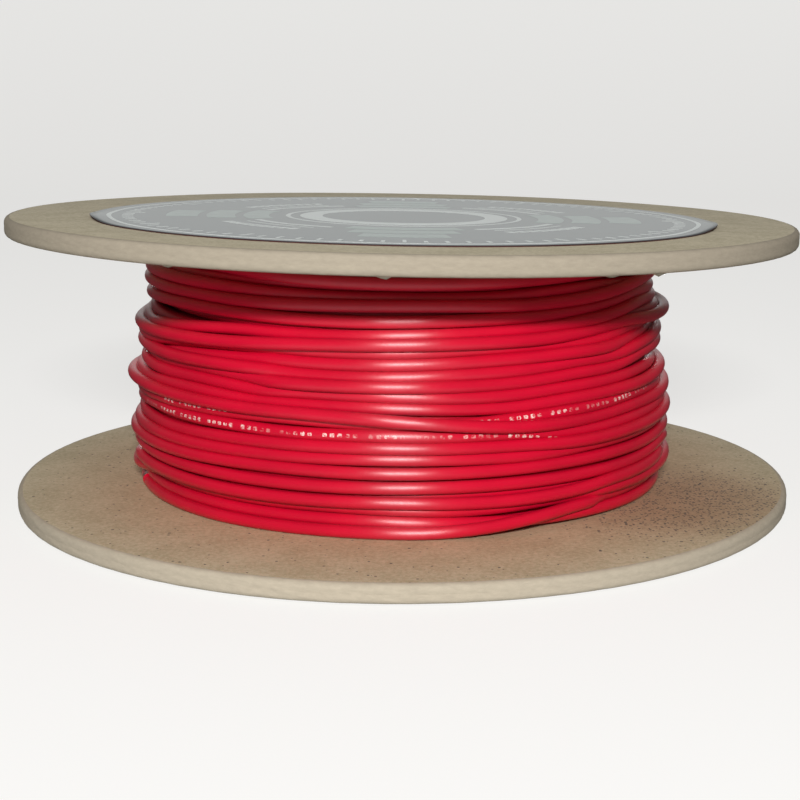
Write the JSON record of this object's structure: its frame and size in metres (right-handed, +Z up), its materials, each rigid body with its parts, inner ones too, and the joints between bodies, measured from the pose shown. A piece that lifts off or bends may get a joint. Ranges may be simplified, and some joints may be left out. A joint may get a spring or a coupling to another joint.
{
  "type": "wire spool",
  "caption": "Chipboard spool with two round flanges and a paper core tube, wound full of insulated hook-up wire, with an arbor hole along its axis.",
  "frame": {"origin": "centre of the lower flange's underside, on the spool's axis", "axes": "+Z up along the spool's axis from the lower flange to the labelled one, +X towards the side where the upper flange leans down"},
  "size_m": [0.1397, 0.1396, 0.0512],
  "materials": {
    "kraft_liner": "matte",
    "chipboard": "matte",
    "label_print": "gloss",
    "tube_paper": "matte",
    "hub_board": "matte",
    "dried_glue": "satin",
    "wire_under": "gloss",
    "wire_insulation": "gloss",
    "copper_strand": "polished",
    "clear_tape": "gloss"
  },
  "bodies": {
    "root": {"lower_outer_liner": "kraft_liner", "lower_outer_ply": "chipboard", "lower_inner_ply": "chipboard", "lower_inner_liner": "kraft_liner", "upper_inner_liner": "kraft_liner", "upper_inner_ply": "chipboard", "upper_outer_ply": "chipboard", "upper_outer_liner": "kraft_liner", "face_label": "label_print", "core_tube": "tube_paper", "lower_hub_disc": "hub_board", "upper_hub_disc": "hub_board", "lower_glue_bead": "dried_glue", "upper_glue_bead": "dried_glue", "wire_inner_layers": "wire_under", "wire_outer_layer": "wire_insulation", "wire_end_strands": "copper_strand", "end_tape": "clear_tape"}
  },
  "joints": []
}
